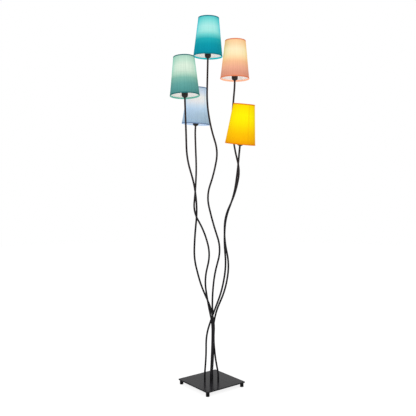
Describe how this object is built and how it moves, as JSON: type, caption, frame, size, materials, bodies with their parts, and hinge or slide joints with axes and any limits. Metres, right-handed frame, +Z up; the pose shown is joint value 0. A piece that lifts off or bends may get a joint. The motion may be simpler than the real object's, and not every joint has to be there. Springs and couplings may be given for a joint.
{
  "type": "tree floor lamp",
  "caption": "Free-standing tree lamp: bent black tube stems rise from a square plate, each ending in a lampholder, a screw-in bulb and a tapered fabric shade.",
  "frame": {"origin": "on the floor under the middle of the square base plate, which is within about 8 mm of the middle of the whole lamp's outline", "axes": "+Z up; +X and +Y along the plate's sides. In the picture the viewer looks along the direction 52 degrees from +Y towards -X"},
  "size_m": [0.4229, 0.3488, 1.5991],
  "materials": {
    "plate_black": "satin black powder coat",
    "stem_black": "satin black powder coat",
    "foot_plastic": "matt black",
    "holder_black": "matt black",
    "zinc_steel": "zinc plated",
    "box_plastic": "matt black",
    "white_plastic": "matt white",
    "grommet_rubber": "matt",
    "lead_sheath": "smooth",
    "contact_brass": "bright",
    "wire_white": "white coat",
    "bulb_diffuser": "frosted",
    "bulb_collar": "smooth white",
    "fabric_teal": "woven cloth on a stiff lining",
    "fabric_turquoise": "woven cloth on a stiff lining",
    "fabric_apricot": "woven cloth on a stiff lining",
    "fabric_blue": "woven cloth on a stiff lining",
    "fabric_yellow": "woven cloth on a stiff lining"
  },
  "bodies": {
    "stand": {"base_plate": "plate_black", "foot_front": "foot_plastic", "foot_left": "foot_plastic", "foot_right": "foot_plastic", "foot_back": "foot_plastic", "foot_screws": "zinc_steel", "stem_washers": "zinc_steel", "stem_nuts": "zinc_steel", "junction_box": "box_plastic", "box_lid": "box_plastic", "box_screws": "zinc_steel", "terminal_block": "white_plastic", "cord_grommet": "grommet_rubber", "stem_leads": "lead_sheath", "contact_sets": "contact_brass", "stem_teal": "stem_black", "holder_cap_teal": "holder_black", "holder_sleeve_teal": "holder_black", "holder_core_teal": "white_plastic", "stem_turquoise": "stem_black", "holder_cap_turquoise": "holder_black", "holder_sleeve_turquoise": "holder_black", "holder_core_turquoise": "white_plastic", "stem_apricot": "stem_black", "holder_cap_apricot": "holder_black", "holder_sleeve_apricot": "holder_black", "holder_core_apricot": "white_plastic", "stem_blue": "stem_black", "holder_cap_blue": "holder_black", "holder_sleeve_blue": "holder_black", "holder_core_blue": "white_plastic", "stem_yellow": "stem_black", "holder_cap_yellow": "holder_black", "holder_sleeve_yellow": "holder_black", "holder_core_yellow": "white_plastic"},
    "shade_teal": {"shade_skin_teal": "fabric_teal", "shade_frame_teal": "wire_white"},
    "nut_teal": {"shade_nut_teal": "holder_black"},
    "bulb_teal": {"bulb_globe_teal": "bulb_diffuser", "bulb_base_teal": "bulb_collar"},
    "shade_turquoise": {"shade_skin_turquoise": "fabric_turquoise", "shade_frame_turquoise": "wire_white"},
    "nut_turquoise": {"shade_nut_turquoise": "holder_black"},
    "bulb_turquoise": {"bulb_globe_turquoise": "bulb_diffuser", "bulb_base_turquoise": "bulb_collar"},
    "shade_apricot": {"shade_skin_apricot": "fabric_apricot", "shade_frame_apricot": "wire_white"},
    "nut_apricot": {"shade_nut_apricot": "holder_black"},
    "bulb_apricot": {"bulb_globe_apricot": "bulb_diffuser", "bulb_base_apricot": "bulb_collar"},
    "shade_blue": {"shade_skin_blue": "fabric_blue", "shade_frame_blue": "wire_white"},
    "nut_blue": {"shade_nut_blue": "holder_black"},
    "bulb_blue": {"bulb_globe_blue": "bulb_diffuser", "bulb_base_blue": "bulb_collar"},
    "shade_yellow": {"shade_skin_yellow": "fabric_yellow", "shade_frame_yellow": "wire_white"},
    "nut_yellow": {"shade_nut_yellow": "holder_black"},
    "bulb_yellow": {"bulb_globe_yellow": "bulb_diffuser", "bulb_base_yellow": "bulb_collar"}
  },
  "joints": [
    {"name": "shade_turn_teal", "type": "hinge", "parent": "stand", "child": "shade_teal", "pos_m": [-0.03443, -0.11705, 1.27434], "axis": [-0.0715, 0.0226, 0.9972], "continuous": true},
    {"name": "nut_turn_teal", "type": "hinge", "parent": "stand", "child": "nut_teal", "pos_m": [-0.03472, -0.11696, 1.27833], "axis": [-0.0715, 0.0226, 0.9972], "range_deg": [0, 3960]},
    {"name": "bulb_turn_teal", "type": "hinge", "parent": "stand", "child": "bulb_teal", "pos_m": [-0.03514, -0.11682, 1.28432], "axis": [-0.0715, 0.0226, 0.9972], "range_deg": [0, 2520]},
    {"name": "shade_turn_turquoise", "type": "hinge", "parent": "stand", "child": "shade_turquoise", "pos_m": [-0.02929, 0.00298, 1.4532], "axis": [0.0157, 0.014, 0.9998], "continuous": true},
    {"name": "nut_turn_turquoise", "type": "hinge", "parent": "stand", "child": "nut_turquoise", "pos_m": [-0.02922, 0.00303, 1.4572], "axis": [0.0157, 0.014, 0.9998], "range_deg": [0, 3960]},
    {"name": "bulb_turn_turquoise", "type": "hinge", "parent": "stand", "child": "bulb_turquoise", "pos_m": [-0.02913, 0.00312, 1.46319], "axis": [0.0157, 0.014, 0.9998], "range_deg": [0, 2520]},
    {"name": "shade_turn_apricot", "type": "hinge", "parent": "stand", "child": "shade_apricot", "pos_m": [0.03019, 0.10486, 1.36049], "axis": [-0.0105, 0.0279, 0.9996], "continuous": true},
    {"name": "nut_turn_apricot", "type": "hinge", "parent": "stand", "child": "nut_apricot", "pos_m": [0.03015, 0.10497, 1.36449], "axis": [-0.0105, 0.0279, 0.9996], "range_deg": [0, 3960]},
    {"name": "bulb_turn_apricot", "type": "hinge", "parent": "stand", "child": "bulb_apricot", "pos_m": [0.03009, 0.10514, 1.37049], "axis": [-0.0105, 0.0279, 0.9996], "range_deg": [0, 2520]},
    {"name": "shade_turn_blue", "type": "hinge", "parent": "stand", "child": "shade_blue", "pos_m": [-0.14935, 0.0271, 1.17236], "axis": [0.0575, 0.0348, 0.9977], "continuous": true},
    {"name": "nut_turn_blue", "type": "hinge", "parent": "stand", "child": "nut_blue", "pos_m": [-0.14912, 0.02724, 1.17635], "axis": [0.0575, 0.0348, 0.9977], "range_deg": [0, 3960]},
    {"name": "bulb_turn_blue", "type": "hinge", "parent": "stand", "child": "bulb_blue", "pos_m": [-0.14877, 0.02745, 1.18233], "axis": [0.0575, 0.0348, 0.9977], "range_deg": [0, 2520]},
    {"name": "shade_turn_yellow", "type": "hinge", "parent": "stand", "child": "shade_yellow", "pos_m": [0.14461, 0.03931, 1.06901], "axis": [0.1357, 0.0104, 0.9907], "continuous": true},
    {"name": "nut_turn_yellow", "type": "hinge", "parent": "stand", "child": "nut_yellow", "pos_m": [0.14516, 0.03935, 1.07298], "axis": [0.1357, 0.0104, 0.9907], "range_deg": [0, 3960]},
    {"name": "bulb_turn_yellow", "type": "hinge", "parent": "stand", "child": "bulb_yellow", "pos_m": [0.14597, 0.03941, 1.07892], "axis": [0.1357, 0.0104, 0.9907], "range_deg": [0, 2520]}
  ]
}
